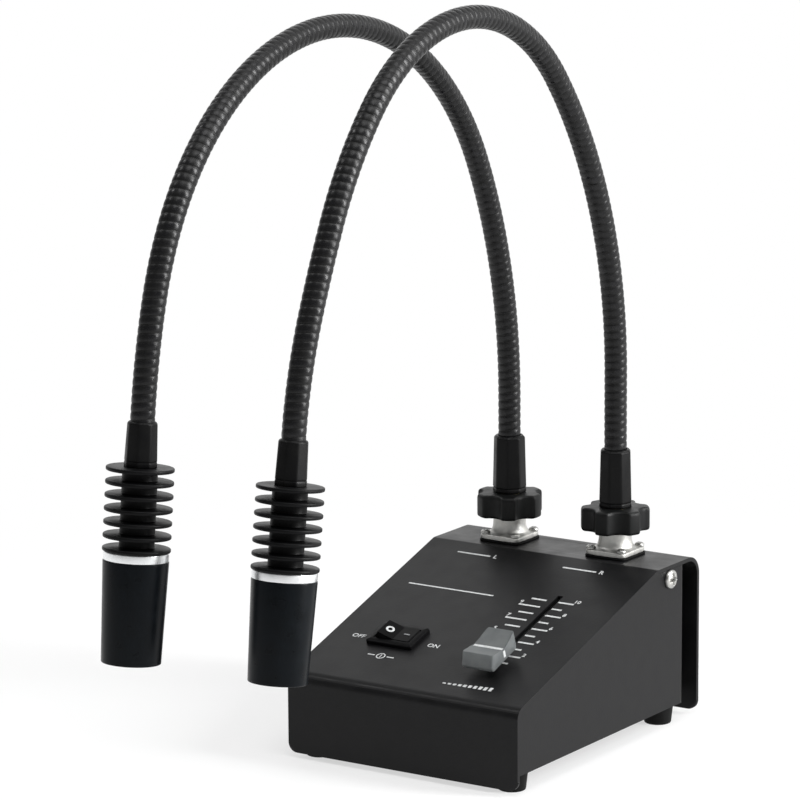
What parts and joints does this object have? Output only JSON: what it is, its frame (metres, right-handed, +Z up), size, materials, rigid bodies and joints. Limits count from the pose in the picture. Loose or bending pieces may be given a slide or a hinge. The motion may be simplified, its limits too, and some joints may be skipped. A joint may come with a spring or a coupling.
{
  "type": "gooseneck spot light illuminator",
  "caption": "Bench light source: sloped control box with rocker switch and intensity fader, and gooseneck arms that each carry a finned lamp head.",
  "frame": {"origin": "on the bench under the middle of the whole part's box, lamp heads included", "axes": "+Z up, +X to the right of someone facing the control panel, the front panel and the lamp heads on the -Y side"},
  "size_m": [0.1096, 0.2896, 0.3003],
  "materials": {
    "powder_coat": "fine-textured black powder coat",
    "chassis_coat": "fine-textured black powder coat",
    "bright_screw": "nickel-plated steel",
    "zinc_screw": "zinc-plated steel",
    "foot_rubber": "matt black rubber",
    "switch_nylon": "moulded black nylon",
    "rocker_plastic": "satin black moulding",
    "terminal_brass": "tinned brass",
    "fader_steel": "plated sheet steel",
    "lever_plastic": "black acetal",
    "cap_grey": "satin grey-green moulding",
    "socket_metal": "satin nickel-plated die casting",
    "gasket_rubber": "black rubber",
    "insulator": "black insulator",
    "plug_metal": "nickel-plated",
    "knob_plastic": "matt black moulding",
    "boot_rubber": "smooth black rubber",
    "neck_coat": "black-coated wound steel",
    "lead_pvc": "black cable jacket",
    "sink_anodised": "black anodised",
    "ring_metal": "machined and polished",
    "hood_anodised": "satin black anodised",
    "led_substrate": "white-faced aluminium board",
    "led_silicone": "yellow phosphor under silicone",
    "lens_glass": "clear",
    "board_laminate": "green laminate",
    "board_parts": "black components",
    "inlet_plastic": "black moulding",
    "inlet_nut_metal": "nickel-plated"
  },
  "bodies": {
    "base": {"cover": "powder_coat", "chassis": "chassis_coat", "cover_screws": "bright_screw", "rubber_feet": "foot_rubber", "foot_screws": "zinc_screw", "switch_frame": "switch_nylon", "switch_terminals": "terminal_brass", "fader_housing": "fader_steel", "fader_studs": "zinc_screw", "socket_gaskets": "gasket_rubber", "left_socket": "socket_metal", "right_socket": "socket_metal", "socket_screws": "bright_screw", "socket_inserts": "insulator", "socket_contacts": "terminal_brass", "left_plug": "plug_metal", "right_plug": "plug_metal", "left_boot": "boot_rubber", "right_boot": "boot_rubber", "driver_board": "board_laminate", "board_pillars": "zinc_screw", "board_screws": "zinc_screw", "board_parts": "board_parts", "power_inlet": "inlet_plastic", "inlet_nut": "inlet_nut_metal"},
    "power_rocker": {"rocker": "rocker_plastic"},
    "fader": {"fader_lever": "lever_plastic", "fader_cap": "cap_grey"},
    "left_coupling": {"left_knob": "knob_plastic"},
    "left_swing": {"left_neck_root": "neck_coat"},
    "left_riser": {"left_neck_riser": "neck_coat", "left_lead_riser": "lead_pvc"},
    "left_drop": {"left_neck_drop": "neck_coat", "left_lead_drop": "lead_pvc"},
    "left_head": {"left_neck_tip": "neck_coat", "left_head_boot": "boot_rubber", "left_heat_sink": "sink_anodised", "left_clamp_ring": "ring_metal", "left_hood": "hood_anodised", "left_led_board": "led_substrate", "left_led": "led_silicone", "left_lens": "lens_glass"},
    "right_coupling": {"right_knob": "knob_plastic"},
    "right_swing": {"right_neck_root": "neck_coat"},
    "right_riser": {"right_neck_riser": "neck_coat", "right_lead_riser": "lead_pvc"},
    "right_drop": {"right_neck_drop": "neck_coat", "right_lead_drop": "lead_pvc"},
    "right_head": {"right_neck_tip": "neck_coat", "right_head_boot": "boot_rubber", "right_heat_sink": "sink_anodised", "right_clamp_ring": "ring_metal", "right_hood": "hood_anodised", "right_led_board": "led_substrate", "right_led": "led_silicone", "right_lens": "lens_glass"}
  },
  "joints": [
    {"name": "power_rocker", "type": "hinge", "parent": "base", "child": "power_rocker", "pos_m": [-0.0237, 0.04013, 0.04329], "axis": [0, -0.9544, -0.2985], "range_deg": [0, 20]},
    {"name": "fader_slide", "type": "slide", "parent": "base", "child": "fader", "axis": [0, 0.9544, 0.2985], "range_m": [0, 0.052]},
    {"name": "left_knob_turn", "type": "hinge", "parent": "base", "child": "left_coupling", "pos_m": [-0.025, 0.12442, 0.082], "axis": [0, 0, 1], "range_deg": [0, 540]},
    {"name": "left_arm_swing", "type": "hinge", "parent": "base", "child": "left_swing", "pos_m": [-0.025, 0.12442, 0.1105], "axis": [0, 0, 1], "range_deg": [-90, 5]},
    {"name": "left_arm_lean", "type": "hinge", "parent": "left_swing", "child": "left_riser", "pos_m": [-0.025, 0.12442, 0.1255], "axis": [1, 0, 0], "range_deg": [-25, 12]},
    {"name": "left_arm_elbow", "type": "hinge", "parent": "left_riser", "child": "left_drop", "pos_m": [-0.025, 0.02655, 0.28674], "axis": [1, 0, 0], "range_deg": [-40, 15]},
    {"name": "left_head_tilt", "type": "hinge", "parent": "left_drop", "child": "left_head", "pos_m": [-0.025, -0.12095, 0.1837], "axis": [1, 0, 0], "range_deg": [-35, 35]},
    {"name": "right_knob_turn", "type": "hinge", "parent": "base", "child": "right_coupling", "pos_m": [0.025, 0.12442, 0.082], "axis": [0, 0, 1], "range_deg": [0, 540]},
    {"name": "right_arm_swing", "type": "hinge", "parent": "base", "child": "right_swing", "pos_m": [0.025, 0.12442, 0.1105], "axis": [0, 0, 1], "range_deg": [-5, 90]},
    {"name": "right_arm_lean", "type": "hinge", "parent": "right_swing", "child": "right_riser", "pos_m": [0.025, 0.12442, 0.1255], "axis": [1, 0, 0], "range_deg": [-25, 12]},
    {"name": "right_arm_elbow", "type": "hinge", "parent": "right_riser", "child": "right_drop", "pos_m": [0.025, 0.03975, 0.29164], "axis": [1, 0, 0], "range_deg": [-40, 15]},
    {"name": "right_head_tilt", "type": "hinge", "parent": "right_drop", "child": "right_head", "pos_m": [0.025, -0.09682, 0.1782], "axis": [1, 0, 0], "range_deg": [-35, 35]}
  ]
}
